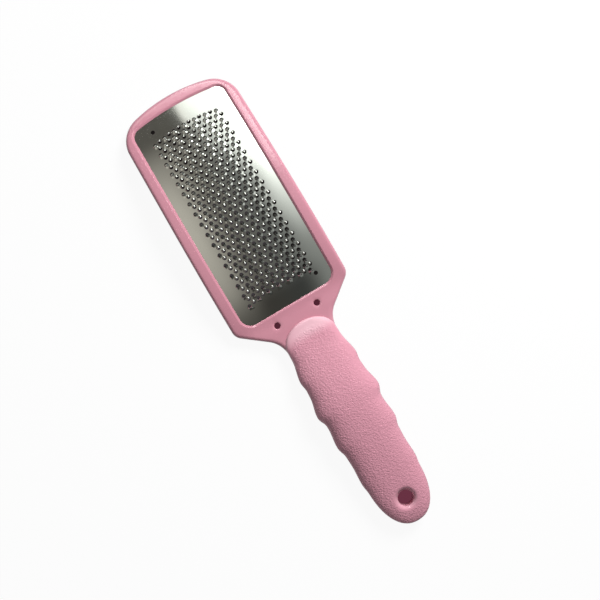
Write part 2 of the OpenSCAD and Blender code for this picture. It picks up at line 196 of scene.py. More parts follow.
def half_t(g):
    """Half the grip's thickness, from its belly to its back."""
    return (back_z(g) - belly_z(g)) / 2


# The hanging eye in the core: its middle, and half its height
EYE_Z, EYE_HALF = float(mid_z(HANG_G)), float(half_t(HANG_G)) - GRIP_WALL


def core_half(g):
    """Half the thickness of the handle's hard core, a soft wall thinner than the grip."""
    return (half_t(g) - GRIP_WALL) * closing(g, GRIP_L - GRIP_WALL, ROUND_SIDE_SHARE * GRIP_L)


def frame_face(y, side):
    """Height of the frame's upper (side 1) or lower (side -1) face: the arch over the head, a
    cubic bridge down the neck, and the core inside the grip."""
    h = RIM_OVER if side > 0 else -RIM_UNDER
    end_z = NECK_TOP_Z - GRIP_WALL if side > 0 else NECK_BOTTOM_Z + GRIP_WALL
    start = NECK_Y - BEVEL_W
    g = GRIP_Y - y
    head = arch_z(np.maximum(y, start - 1), h)
    slope = -(WINDOW_L / 2 + BEVEL_W) / ARCH_R
    neck = bridge(np.clip(start - y, 0, TONGUE_GAP - BEVEL_W), TONGUE_GAP - BEVEL_W,
                  arch_z(start, h), slope, end_z, 0)
    core = mid_z(g) + side * core_half(g)
    return np.where(y > start, head, np.where(y > GRIP_Y, neck, core))


def round_r(y):
    """Rounding of the frame's edges: even round the head, fuller on the core."""
    t = frame_face(y, 1) - frame_face(y, -1)
    return np.minimum(FULL_ROUND_SHARE * t,
                      EDGE_R + CORE_ROUND_SHARE * t * ease((GRIP_Y - y) / TONGUE_L))


# Outlines, as right halves from the tip to the handle


def arc(x, y, r, a0, a1, n):
    """Points on a circle about (x, y), from angle a0 to a1 in degrees, in n steps."""
    a = np.radians(np.linspace(a0, a1, n + 1))
    return np.stack([x + r * np.cos(a), y + r * np.sin(a)], 1)


def span(a, b):
    """Points from a to b, both left out, about OUTLINE_STEP apart."""
    a, b = np.array(a, float), np.array(b, float)
    n = max(2, int(np.linalg.norm(b - a) / OUTLINE_STEP))
    return a + (b - a) * np.linspace(0, 1, n + 1)[1:-1, None]


def bowed_corner(bow_r, corner_r, top_y, side_x):
    """y of a bowed end's middle, x and y of its corner's middle, and the lean in degrees of the
    line through both, on which the two arcs meet."""
    corner_x, bow_y = side_x - corner_r, top_y - bow_r
    rise = math.sqrt((bow_r - corner_r) ** 2 - corner_x ** 2)
    return bow_y, corner_x, bow_y + rise, math.degrees(math.atan2(rise, corner_x))


def window_half(g):
    """Right half of the window, pushed outwards by g: bowed tip edge, corner, side, corner."""
    side_x = WINDOW_W / 2
    bow_y, tip_x, high, lean = bowed_corner(WINDOW_BOW_R, WINDOW_TIP_R, HEAD_Y + WINDOW_L / 2, side_x)
    neck_x, low = side_x - WINDOW_NECK_R, NECK_Y + WINDOW_NECK_R
    return np.concatenate([
        arc(0, bow_y, WINDOW_BOW_R + g, 90, lean, 16),
        arc(tip_x, high, WINDOW_TIP_R + g, lean, 0, 10)[1:],
        span((side_x + g, high), (side_x + g, low)),
        arc(neck_x, low, WINDOW_NECK_R + g, 0, -90, 12),
        span((neck_x, NECK_Y - g), (0, NECK_Y - g)),
        [[0, NECK_Y - g]]])


def core_side():
    """Right side of the core inside the grip: the grip's half-width without its waves, less a
    wall that eases in behind the tongue and closes with the end."""
    length = GRIP_L - GRIP_WALL
    start, blend = TONGUE_L + GRIP_WALL, 3 * GRIP_WALL
    rest = length - start - blend
    g = np.concatenate([start + blend * np.linspace(0, 1, 9)[1:],
                        start + blend + rest * np.sin(np.linspace(0, np.pi / 2, 60)[1:])])
    wall = GRIP_WALL * ease((g - start) / blend) * closing(g, length, ROUND_PLAN_SHARE * GRIP_L)
    side = np.stack([np.maximum(0, smooth_half_w(g, length) - wall), GRIP_Y - g], 1)
    side[-1, 0] = 0
    return side


def frame_half():
    """Right half of the frame's outline: bowed tip, corner, side with a slight taper, corner,
    shoulder, neck fillet, and the handle's core, which stays clear of the grip's skin."""
    side_x, neck_x = WINDOW_W / 2 + RIM_W, NECK_W / 2
    bow_y, tip_x, tip_low, lean = bowed_corner(TIP_BOW_R, TIP_CORNER_R, TIP_Y, side_x)
    fillet_y = GRIP_Y - TONGUE_L - GRIP_WALL
    angle = math.radians(SHOULDER_ANGLE)
    fillet_top_x = neck_x + NECK_FILLET_R * (1 - math.cos(angle))
    fillet_top_y = fillet_y + NECK_FILLET_R * math.sin(angle)
    corner_in = NECK_CORNER_R * (1 - math.cos(angle))
    corner_low = fillet_top_y + (side_x - corner_in - fillet_top_x) / math.tan(angle)
    corner_y = corner_low + NECK_CORNER_R * math.sin(angle)
    head = np.concatenate([
        arc(0, bow_y, TIP_BOW_R, 90, lean, 20),
        arc(tip_x, tip_low, TIP_CORNER_R, lean, 0, 20)[1:],
        span((side_x, tip_low), (side_x, corner_y))])
    head[:, 0] *= 1 - TIP_TAPER / side_x * ease((head[:, 1] - HEAD_Y + WINDOW_L / 2) / WINDOW_L)
    shoulder = arc(side_x - NECK_CORNER_R, corner_y, NECK_CORNER_R, 0, -SHOULDER_ANGLE, 14)
    fillet = arc(neck_x + NECK_FILLET_R, fillet_y, NECK_FILLET_R, 180 - SHOULDER_ANGLE, 180, 16)
    half = np.concatenate([head, shoulder, span(shoulder[-1], fillet[0]), fillet, core_side()])
    half[:, 0] -= np.minimum(half[:, 0], CORE_GAP) * ease(GRIP_Y - TONGUE_L + 1 - half[:, 1])
    return half


def whole(half):
    """Closed outline from its right half, whose first and last points lie on the centre line."""
    left = half[-2:0:-1] * [-1, 1]
    return np.concatenate([half, left])


def outward(loop):
    """Outward normals of a closed clockwise outline, from the chord between its neighbours."""
    t = np.roll(loop, -1, 0) - np.roll(loop, 1, 0)
    n = np.stack([-t[:, 1], t[:, 0]], 1)
    return n / np.linalg.norm(n, axis=1)[:, None]


def circle(x, y, r, n):
    """Closed circle of n points."""
    a = np.arange(n) * 2 * np.pi / n
    return np.stack([x + r * np.cos(a), y + r * np.sin(a)], 1)


def inside(points, loop):
    """Which points lie inside a closed outline, by counting the edges that a ray crosses."""
    x, y = points[:, 0][:, None], points[:, 1][:, None]
    x0, y0 = loop[:, 0], loop[:, 1]
    x1, y1 = np.roll(x0, -1), np.roll(y0, -1)
    dy = np.where(y1 == y0, 1, y1 - y0)
    crosses = ((y0 > y) != (y1 > y)) & (x < x0 + (x1 - x0) * (y - y0) / dy)
    return crosses.sum(1) % 2 == 1


def far_from(points, loop, reach):
    """Which points lie further than reach from every edge of a closed outline."""
    keep = np.ones(len(points), bool)
    for a, b in zip(loop, np.roll(loop, -1, 0)):
        t = np.clip((points - a) @ (b - a) / max((b - a) @ (b - a), TINY), 0, 1)
        keep &= np.linalg.norm(points - a - t[:, None] * (b - a), axis=1) > reach
    return keep


def near(points, hole):
    """Which points lie less than a hole's width from its middle, and need a closer test."""
    return np.linalg.norm(points - hole.mean(0), axis=1) < np.ptp(hole, axis=0).max()


def even_grid(rim, step):
    """Points of a triangular grid inside an outline, outside its holes and clear of every edge."""
    outline, *holes = rim
    reach = step * FILL_REACH_SHARE
    low, high = outline.min(0), outline.max(0)
    nx, ny = (np.ceil((high - low) / step)).astype(int)
    gx, gy = np.meshgrid(np.arange(nx + 1), np.arange(ny + 1))
    x = (gx + 0.5 * (gy % 2)).ravel() * step + low[0]
    grid = np.stack([x, gy.ravel() * step + low[1]], 1)
    grid = grid[inside(grid, outline)]
    for hole in holes:
        close = near(grid, hole)
        drop = np.zeros(len(grid), bool)
        drop[close] = inside(grid[close], hole) | ~far_from(grid[close], hole, reach)
        grid = grid[~drop]
    return grid[far_from(grid, outline, reach)]


# Mesh making


class Shell:
    """Gathers points and faces of one closed surface and makes them a mesh at the end."""

    def __init__(self):
        self.points, self.faces, self.count = [], [], 0

    def add(self, points):
        """Adds an array of points and returns their indices."""
        points = np.asarray(points, float)
        self.points.append(points)
        self.count += len(points)
        return np.arange(self.count - len(points), self.count)

    def strip(self, a, b, closed=True):
        """Joins two rows of indices of the same length with triangles, a before b."""
        a0, b0 = (a, b) if closed else (a[:-1], b[:-1])
        a1 = np.roll(a, -1) if closed else a[1:]
        b1 = np.roll(b, -1) if closed else b[1:]
        self.faces.append(np.stack([a0, a1, b1], 1))
        self.faces.append(np.stack([a0, b1, b0], 1))

    def rings(self, rows, closed=True):
        """Joins each row to the next one."""
        for a, b in zip(rows[:-1], rows[1:]):
            self.strip(a, b, closed)

    def fill(self, outer, holes, height, step, up):
        """Fills the flat area between an outline and its holes with an even triangle mesh. The
        loops are rows of indices already added; height gives the 3-D place of each new point."""
        xy = np.concatenate(self.points)[:, :2]
        loops = [outer, *holes]
        rim = [xy[i] for i in loops]
        grid = even_grid(rim, step)
        flat = np.concatenate([*rim, grid])
        edges, at = [], 0
        for loop in loops:
            n = len(loop)
            edges += [(at + i, at + (i + 1) % n) for i in range(n)]
            at += n
        out = delaunay_2d_cdt([Vector(p) for p in flat], edges, [], 0, CROSSING_TINY, True)
        place, tris = np.array([v[:] for v in out[0]]), np.array(out[2])
        origin = np.array([o[0] if o else -1 for o in out[3]])
        middle = place[tris].mean(1)
        keep = inside(middle, rim[0])
        for hole in rim[1:]:
            close = near(middle, hole)
            keep[close] &= ~inside(middle[close], hole)
        tris = tris[keep]
        used = np.unique(tris)
        crossed = place[used][origin[used] < 0]
        if len(crossed):
            raise RuntimeError(f"outlines of a fill cross at {crossed[:5].round(2).tolist()}")
        new = self.add(height(grid)) if len(grid) else np.zeros(0, int)
        index = np.concatenate([*loops, new])
        a, b, c = (flat[origin[tris[:, k]]] for k in range(3))
        area = ((b[:, 0] - a[:, 0]) * (c[:, 1] - a[:, 1])
                - (b[:, 1] - a[:, 1]) * (c[:, 0] - a[:, 0]))
        tris = index[origin[tris]]
        self.faces.append(np.where(((area > 0) == up)[:, None], tris, tris[:, ::-1]))

    def mesh(self, name, sharp_angle):
        """Makes the object, in metres, with points that coincide joined and smooth shading."""
        points = np.concatenate(self.points)
        faces = np.concatenate(self.faces)
        key = np.round(points / WELD).astype(np.int64)
        _, first, back = np.unique(key, axis=0, return_index=True, return_inverse=True)
        faces = back.ravel()[faces]
        faces, points = faces[(faces != np.roll(faces, 1, 1)).all(1)], points[first]
        data = bpy.data.meshes.new(name)
        data.vertices.add(len(points))
        data.vertices.foreach_set("co", (points * MM).astype(np.float32).ravel())
        data.loops.add(3 * len(faces))
        data.loops.foreach_set("vertex_index", faces.astype(np.int32).ravel())
        data.polygons.add(len(faces))
        data.polygons.foreach_set("loop_start", np.arange(0, 3 * len(faces), 3, dtype=np.int32))
        data.update(calc_edges=True)
        data.validate()
        work = bmesh.new()
        work.from_mesh(data)
        open_edges = [e for e in work.edges if not e.is_manifold]
        if open_edges:
            raise RuntimeError(f"{name}: {len(open_edges)} open edges, first at "
                               f"{[round(c / MM, 3) for c in open_edges[0].verts[0].co]}")
        bmesh.ops.recalc_face_normals(work, faces=work.faces)
        work.to_mesh(data)
        work.free()
        data.shade_smooth()
        data.set_sharp_from_angle(angle=math.radians(sharp_angle))
        piece = bpy.data.objects.new(name, data)
        bpy.context.scene.collection.objects.link(piece)
        return piece


def lift(flat, z):
    """Flat points with a height each, or with one for all."""
    return np.column_stack([flat, np.broadcast_to(z, len(flat))])


# Rasp plate


def tooth_places():
    """x and s of every tooth's middle, and whether it opens towards the handle. Every row fills
    every second half-pitch column, and its ends fall back by a parabola."""
    row, col = np.meshgrid(np.arange(ROWS), np.arange(COLS), indexing="ij")
    keep = (row + col) % 2 == 0
    row, col = row[keep], col[keep]
    mid = (COLS - 1) / 2
    x = (col - mid) * TOOTH_PITCH / 2
    s = ((ROWS - 1) / 2 - row) * ROW_PITCH - ROW_SAG * ((col - mid) / mid) ** 2
    return x, s, ((col + 1) // 2) % 2 == 1


def on_steel(p):
    """Bends flat points (x, s, h) round the arch: s runs along the bend, h out of the face."""
    a = p[:, 1] / ARCH_R
    r = ARCH_R + p[:, 2]
    return np.column_stack([p[:, 0], HEAD_Y + r * np.sin(a), CROWN_Z - ARCH_R + r * np.cos(a)])


def tooth_rows(ramp):
    """Rows of points of a tooth that opens to +Y. Its back is the rear half of a sphere, drawn by
    the share ramp to the straight lines from its foot to the open front arch. A rim joins it to
    the inner sphere, which runs down through the sheet, and before it lies a round opening."""
    dome_r = (TOOTH_R ** 2 + TOOTH_H ** 2) / (2 * TOOTH_H)
    dome_z = TOOTH_H - dome_r
    inner_r = dome_r - TOOTH_WALL
    front_r = math.sqrt(inner_r ** 2 - dome_z ** 2)
    below_r = math.sqrt(inner_r ** 2 - (dome_z + SHEET_T) ** 2)

    def half_circle(r, start, h):
        """Half circle at height h, anticlockwise from a start angle in degrees."""
        return lift(arc(0, 0, r, start, start + 180, TOOTH_STEPS), h)

    def on_sphere(p, r):
        """Moves points straight out from the sphere's middle, or in to it, until they lie on it."""
        v = p - [0, 0, dome_z]
        return [0, 0, dome_z] + v * (r / np.linalg.norm(v, axis=1))[:, None]

    def front_arch(r, foot):
        """Arch of a sphere in the plane of the opening, from its left foot to its right."""
        half = math.asin(foot / r)
        a = np.linspace(-half, half, TOOTH_STEPS + 1)
        return np.column_stack([r * np.sin(a), 0 * a, dome_z + r * np.cos(a)])

    def wall(top, low):
        """Rows on the inner sphere from a top row to the row at the sheet's lower face."""
        between = [on_sphere(top * (1 - t) + low * t, inner_r) for t in WALL_SHARES]
        return [top, *between, low]

    foot, arch = half_circle(TOOTH_R, 180, 0.0), front_arch(dome_r, TOOTH_R)
    back = [foot]
    for t in BACK_SHARES:
        straight = foot * (1 - t) + arch * t
        back.append(on_sphere(straight, dome_r) * (1 - ramp) + straight * ramp)
    rear = [*back, arch, *wall(front_arch(inner_r, front_r), half_circle(below_r, 180, -SHEET_T))]
    return rear, wall(half_circle(front_r, 0, 0.0), half_circle(below_r, 0, -SHEET_T))


def rasp_shell(wave):
    """The bent sheet with its teeth, its locating holes and slight waves: each tooth is turned to
    its own end and its foot becomes a hole of the flat sheet, which is filled and then bent."""
    shell = Shell()
    kinds = [tooth_rows(TIP_RAMP), tooth_rows(HANDLE_RAMP)]
    top_holes, low_holes = [], []
    for x, s, to_handle in zip(*tooth_places()):
        turn = -1.0 if to_handle else 1.0
        rear, front = ([shell.add(row * [turn, turn, 1.0] + [x, s, 0.0]) for row in rows]
                       for rows in kinds[int(to_handle)])
        shell.rings(rear, False)
        shell.rings(front, False)
        top_holes.append(np.concatenate([rear[0], front[0]]))
        low_holes.append(np.concatenate([rear[-1][:-1], front[-1][:-1]]))

    edge = whole(window_half(FLANGE_W - FIT_GAP))[::-1]
    edge[:, 1] = ARCH_R * np.arcsin((edge[:, 1] - HEAD_Y) / ARCH_R)
    top_edge, low_edge = shell.add(lift(edge, 0.0)), shell.add(lift(edge, -SHEET_T))
    shell.strip(low_edge, top_edge)
    for side in (-1, 1):
        hole = circle(LOCATING_SHIFT - side * LOCATING_X, side * LOCATING_Y, LOCATING_R, 28)
        top_holes.append(shell.add(lift(hole, 0.0)))
        low_holes.append(shell.add(lift(hole, -SHEET_T)))
        shell.strip(top_holes[-1], low_holes[-1])
    shell.fill(top_edge, top_holes, lambda p: lift(p, 0.0), SHEET_TOP_STEP, True)
    shell.fill(low_edge, low_holes, lambda p: lift(p, -SHEET_T), SHEET_LOW_STEP, False)
    for i, p in enumerate(shell.points):
        waved = p.copy()
        waved[:, 2] += wave * np.sin(p[:, 0] * WAVE_X) * np.sin(p[:, 1] * WAVE_S + WAVE_START)
        shell.points[i] = on_steel(waved)
    return shell


# Frame


def frame_shell():
    """The moulding: its outline rounded over between the upper and the lower face, the window
    with its bevel and the slot for the steel, the neck holes and the hanging eye."""
    shell = Shell()
    loop = whole(frame_half())
    out = outward(loop)
    right = np.arange(len(loop)) <= len(loop) // 2
    r = round_r(loop[:, 1])
    rows = []
    for side, angles in ((-1, np.linspace(90, 0, 7)), (1, np.linspace(0, 90, 7))):
        for a in np.radians(angles):
            inset = r * (1 - math.cos(a))
            flat = loop - out * inset[:, None]
            flat[:, 0] = np.where(right, np.maximum(flat[:, 0], 0), np.minimum(flat[:, 0], 0))
            flat[[0, len(loop) // 2], 0] = 0
            z = frame_face(flat[:, 1], side) - side * r * (1 - math.sin(a))
            rows.append(shell.add(lift(flat, z)))
    shell.rings(rows)

    # The window's edge, from the upper face down to the lower one: (outward step, height)
    soft, slot_low = WINDOW_SOFT, -SHEET_T - FIT_GAP
    profile = [(BEVEL_W + soft * 1.6, "top"), (BEVEL_W + soft * 0.5, RIM_OVER - 0.02),
               (BEVEL_W - soft * 0.4, RIM_OVER - soft * 0.8), (0.15, FIT_GAP + 0.12),
               (0.0, FIT_GAP - 0.04), (FLANGE_W, FIT_GAP - 0.04), (FLANGE_W, slot_low),
               (0.12, slot_low), (0.0, slot_low - 0.15), (0.0, -RIM_UNDER + 0.5),
               (0.15, -RIM_UNDER + 0.15), (0.5, "bottom")]
    faces = {"top": 1, "bottom": -1}
    window = []
    for g, h in profile:
        flat = whole(window_half(g))
        z = frame_face(flat[:, 1], faces[h]) if h in faces else arch_z(flat[:, 1], h)
        window.append(shell.add(lift(flat, z)))
    shell.rings(window)

    def bore(x, y, radius, soften, n, ends=None):
        """A round hole through the moulding, with softened mouths, from face to face or between
        two flat ends."""
        steps = [(soften, 0.0), (soften * 0.3, soften * 0.3), (0.0, soften)]
        made = []
        for side in (1, -1):
            for g, d in steps[::side]:
                flat = circle(x, y, radius + g, n)
                z = frame_face(flat[:, 1], side) if ends is None else ends[side]
                made.append(shell.add(lift(flat, z - side * d)))
        shell.rings([row[::-1] for row in made])
        return made[0], made[-1]

    holes = [bore(side * NECK_HOLE_X, NECK_Y - NECK_HOLE_GAP, NECK_HOLE_R, NECK_HOLE_SOFT, 32)
             for side in (-1, 1)]
    holes.append(bore(0.0, HANG_Y, HANG_R, 0.0, 48, {1: EYE_Z + EYE_HALF, -1: EYE_Z - EYE_HALF}))
    tops, lows = zip((window[0], window[-1]), *holes)
    shell.fill(rows[-1], tops, lambda p: lift(p, frame_face(p[:, 1], 1)), FRAME_TOP_STEP, True)
    shell.fill(rows[0], lows, lambda p: lift(p, frame_face(p[:, 1], -1)), FRAME_LOW_STEP, False)
    return shell


# Grip


def section_half(g):
    """Half-width, half-height and roundness of the grip at g. The tongue opens as an ellipse, and
    its edge is a quarter round. The exponent goes from a rounded block to a flattened oval."""
    open_w = np.sqrt(np.clip(1 - np.clip(1 - g / TONGUE_L, 0, 1) ** 2, 0, 1))
    waves = finger_waves(g) * closing(g, GRIP_L, ROUND_PLAN_SHARE * GRIP_L)
    edge = np.where(g >= GRIP_WALL, 0, GRIP_WALL - np.sqrt(np.clip(
        GRIP_WALL ** 2 - np.clip(GRIP_WALL - g, 0, GRIP_WALL) ** 2, 0, None)))
    t = half_t(g) * closing(g, GRIP_L, ROUND_SIDE_SHARE * GRIP_L) - edge
    e = 2 / (TONGUE_POWER + (OVAL_POWER - TONGUE_POWER) * ease(g / (2 * TONGUE_L)))
    return open_w * (smooth_half_w(g, GRIP_L) + waves), t, e


def grip_point(g, a):
    """Point of the skin: a superellipse of angle a at distance g from the tongue's tip."""
    w, t, e = section_half(g)
    c, s = np.cos(a), np.sin(a)
    x = w * np.sign(c) * np.abs(c) ** e
    z = mid_z(g) + t * np.sign(s) * np.abs(s) ** e
    return np.stack([x, GRIP_Y - g + 0 * x, z], -1)


def grip_height(flat, side):
    """Height of the skin over a flat point: the superellipse solved for its height."""
    g = GRIP_Y - flat[:, 1]
    w, t, e = section_half(g)
    share = np.clip(1 - np.abs(flat[:, 0] / w) ** (2 / e), 0, 1) ** (e / 2)
    return mid_z(g) + side * t * share


def grip_shell():
    """The soft skin: rings from the tongue's tip to the rounded end. Round the hanging hole they
    leave a gap on the back and on the belly, which a dished mouth and a fill close."""
    shell = Shell()
    patch_start, patch_end = HANG_G - HANG_PATCH, HANG_G + HANG_PATCH
    g = np.concatenate([
        TONGUE_L * (1 - np.cos(np.radians(np.linspace(4, 90, 26)))),
        np.linspace(TONGUE_L, patch_start, 96)[1:],
        np.linspace(patch_start, patch_end, 26)[1:],
        GRIP_L - (GRIP_L - patch_end) * (1 - np.sin(np.radians(np.linspace(0, 89.2, 18)[1:])))])
    n, spread = RING_STEPS, PATCH_STEPS
    middles = {1: n // 4, -1: 3 * n // 4}
    a = np.arange(n) * 2 * np.pi / n
    rows = [shell.add(grip_point(np.full(n, v), a)) for v in g]
    k0, k1 = (int(np.abs(g - place).argmin()) for place in (patch_start, patch_end))
    beside = np.ones(n, bool)
    for middle in middles.values():
        beside[middle - spread:middle + spread] = False
    everywhere = np.arange(n)
    for k, (p, q) in enumerate(zip(rows[:-1], rows[1:])):
        i = everywhere[beside] if k0 <= k < k1 else everywhere
        j = (i + 1) % n
        shell.faces.append(np.stack([p[i], q[i], q[j]], 1))
        shell.faces.append(np.stack([p[i], q[j], p[j]], 1))
    tip, end = (shell.add([[0, GRIP_Y - v, float(mid_z(v))]]) for v in (0.0, GRIP_L))
    shell.strip(rows[0], np.full(n, tip[0]))
    shell.strip(np.full(n, end[0]), rows[-1])

    bores = []
    for side, middle in middles.items():
        cols = np.arange(middle - spread, middle + spread + 1)
        edge = np.concatenate([
            rows[k0][cols], [rows[k][cols[-1]] for k in range(k0 + 1, k1)],
            rows[k1][cols[::-1]], [rows[k][cols[0]] for k in range(k1 - 1, k0, -1)]]).astype(int)
        base = EYE_Z + side * EYE_HALF
        mouth = []
        for turn in np.radians((90, 78, 64, 50, 36, 22, 10, 0)):
            flat = circle(0, HANG_Y, HANG_R + (HANG_MOUTH_R - HANG_R) * (1 - math.cos(turn)), 64)
            share = math.sin(turn) ** MOUTH_POWER
            mouth.append(shell.add(lift(flat, base + (grip_height(flat, side) - base) * share)))
        shell.rings([row[::-side] for row in mouth])
        shell.fill(edge, [mouth[0]], lambda p, s=side: lift(p, grip_height(p, s)), GRIP_STEP, side > 0)
        bores.append(mouth[-1][::-1])
    shell.strip(*bores)
    return shell


def grain_share(points):
    """Share of the grain, from 0 to 1: full inside an arc at the tongue, less a smooth edge, and
    away from the hanging hole's mouth."""
    x, y = points[:, 0], points[:, 1]
    g = GRIP_Y - y
    reach = np.hypot(x, np.clip(GRAIN_ARC_R - g, 0, None))
    tongue = ease((GRAIN_ARC_R - reach - GRAIN_EDGE) / GRAIN_FADE)
    handle = ease((g - GRAIN_ARC_R) / GRAIN_LONG_FADE)
    hole = ease((np.hypot(x, y - HANG_Y) - HANG_MOUTH_R) / GRAIN_HOLE_FADE)
    return np.clip(tongue + handle, 0, 1) * hole


# Shader maths as Python expressions


class Sock:
    """An output socket whose operators add Math nodes."""

    def __init__(self, tree, socket):
        self.tree, self.socket = tree, socket

    def math(self, kind, *values):
        """A Math node of a kind, with its values or links in order."""
        return self.tree.node("ShaderNodeMath", {"operation": kind}, dict(enumerate(values)))

    def __add__(self, b):
        return self.math("ADD", self, b)

    __radd__ = __add__

    def __sub__(self, b):
        return self.math("SUBTRACT", self, b)

    def __rsub__(self, b):
        return self.math("SUBTRACT", b, self)

    def __mul__(self, b):
        return self.math("MULTIPLY", self, b)

    __rmul__ = __mul__

    def __truediv__(self, b):
        return self.math("DIVIDE", self, b)

    def __pow__(self, b):
        return self.math("POWER", self, b)

    def __abs__(self):
        return self.math("ABSOLUTE", self)

    def smooth(self, low, high):
        """Smooth step from 0 at low to 1 at high."""
        return self.tree.node("ShaderNodeMapRange", {"interpolation_type": "SMOOTHSTEP"},
                              {0: self, 1: low, 2: high})

    def clamp(self):
        """The value, kept between 0 and 1."""
        return self.tree.node("ShaderNodeClamp", {}, {0: self})


class Tree:
    """A node tree that is built with one method for every kind of node."""

    def __init__(self, owner):
        owner.use_nodes = True
        self.nodes, self.links = owner.node_tree.nodes, owner.node_tree.links
        self.nodes.clear()

    def node(self, kind, settings, values, output=0):
        """Adds a node: its type, its settings, the values or links of its sockets, its output."""
        made = self.nodes.new(kind)
        for key, value in settings.items():
            setattr(made, key, value)
        for key, value in values.items():
            if isinstance(value, Sock):
                self.links.new(value.socket, made.inputs[key])
            else:
                made.inputs[key].default_value = value
        return Sock(self, made.outputs[output]) if len(made.outputs) else None

    def mix(self, share, a, b):
        """Mix of two colours, each a link or three numbers: a where share is 0, b where it is 1."""
        a, b = ((*c, 1) if isinstance(c, tuple) else c for c in (a, b))
        return self.node("ShaderNodeMix", {"data_type": "RGBA"}, {0: share, 6: a, 7: b}, 2)

    def place(self):
        """Object coordinates in millimetres, as a vector and as x, y and z."""
        at = self.node("ShaderNodeTexCoord", {}, {}, "Object")
        mm = self.node("ShaderNodeVectorMath", {"operation": "SCALE"}, {0: at, "Scale": 1 / MM})
        return mm, [self.node("ShaderNodeSeparateXYZ", {}, {0: mm}, i) for i in range(3)]

    def noise(self, at, scale, detail=2.0, output="Fac"):
        """Noise of a scale per millimetre, as a value or a colour."""
        return self.node("ShaderNodeTexNoise", {}, {
            "Vector": at, "Scale": scale, "Detail": detail, "Roughness": 0.5}, output)

    def stretch(self, at, scale):
        """The vector with each of its parts multiplied."""
        return self.node("ShaderNodeVectorMath", {"operation": "MULTIPLY"}, {0: at, 1: scale})

    def distance(self, at, point):
        """Distance to a point."""
        return self.node("ShaderNodeVectorMath", {"operation": "DISTANCE"}, {0: at, 1: point}, "Value")

    def bump(self, height, depth):
        """Normal bent by a height, with its depth in millimetres."""
        return self.node("ShaderNodeBump", {}, {
            "Height": height, "Distance": depth * MM, "Strength": 1.0}, "Normal")

    def surface(self, shader):
        """Makes a shader the material's surface."""
        self.node("ShaderNodeOutputMaterial", {}, {"Surface": shader})


def new_material(name):
    """A new material and its empty node tree."""
    material = bpy.data.materials.new(name)
    return material, Tree(material)


def region(axes, fades):
    """Share of a soft-edged region: the product of smooth steps, each an axis, the place where
    the step is 0 and the place where it is 1."""
    return math.prod(axes[axis].smooth(start, full) for axis, start, full in fades)


def tint(colour, factor=1.0):
    """A colour of the settings times a factor."""
    return tuple(c * factor for c in colour)


# Materials


# Teeth: their darker colour, the share of it that all of them take, the share added towards the
# handle as painted shade where they mirror less light, and where, and how high over the sheet a
# tooth starts
TOOTH_SHADE, TOOTH_SHADE_SHARE, TOOTH_PAINTED_SHADE_SHARE = (0.16, 0.15, 0.16), 0.3, 0.35
PAINTED_SHADE_START_Y, PAINTED_SHADE_FULL_Y = 80.0, 20.0
TOOTH_START_H, TOOTH_FULL_H = 0.04, 0.25

# Grip: its specks, the painted sheen that makes its tongue paler and more so to the right, and
# the dish round the hanging hole, which is also painted paler as a painted sheen
SPECK_COLOUR, PAINTED_SHEEN_COLOUR = (0.16, 0.03, 0.05), (0.82, 0.49, 0.56)
PAINTED_SHEEN_START_Y, PAINTED_SHEEN_FULL_Y, PAINTED_SHEEN_START_X, PAINTED_SHEEN_FULL_X = -21.0, -14.5, -12.0, 3.0
DISH_R, DISH_FULL_R, DISH_H = 6.3, 3.9, 3.2


def rasp_steel(sizes):
    """Stainless sheet: polished, with a faint lengthwise grain and soft smudges. The teeth are
    rougher and darker than the face that they are drawn out of, and darker still towards the
    handle, as painted shade where they mirror less light."""
    material, tree = new_material("rasp_steel")
    at, (_, y, z) = tree.place()
    grain = tree.noise(tree.stretch(at, (9.0, 0.5, 1.0)), 1.0, 3.0)
    smudge = tree.noise(at, 0.05)
    over = ((y - HEAD_Y) ** 2 + (z - (CROWN_Z - ARCH_R)) ** 2) ** 0.5 - ARCH_R
    tooth = over.smooth(TOOTH_START_H, TOOTH_FULL_H)
    # Painted shade: more of the dark colour towards the handle, where the teeth mirror less light
    darker_and_painted_shade = TOOTH_SHADE_SHARE + TOOTH_PAINTED_SHADE_SHARE * y.smooth(PAINTED_SHADE_START_Y, PAINTED_SHADE_FULL_Y)
    sheet = tree.mix(smudge, tint(sizes.steel_colour), tint(sizes.steel_colour, 1.14))
    tree.surface(tree.node("ShaderNodeBsdfPrincipled", {}, {
        "Base Color": tree.mix(tooth * darker_and_painted_shade, sheet, TOOTH_SHADE),
        "Metallic": 1.0,
        "Roughness": 0.042 + 0.026 * grain + 0.03 * smudge + 0.11 * tooth,
        "Normal": tree.bump(grain, 0.0012),
    }))
    return material


def frame_plastic(sizes):
    """Hard moulded plastic: smooth and glossy, with a faint flow pattern."""
    material, tree = new_material("frame_plastic")
    at, _ = tree.place()
    flow = tree.noise(at, 0.06)
    skin = tree.noise(at, 2.2, 3.0)
    tree.surface(tree.node("ShaderNodeBsdfPrincipled", {}, {
        "Base Color": tree.mix(flow, tint(sizes.frame_colour), tint(sizes.frame_colour, 0.95)),
        "Roughness": 0.19 + 0.08 * skin,
        "IOR": 1.5,
        "Normal": tree.bump(skin, 0.006),
    }))
    return material


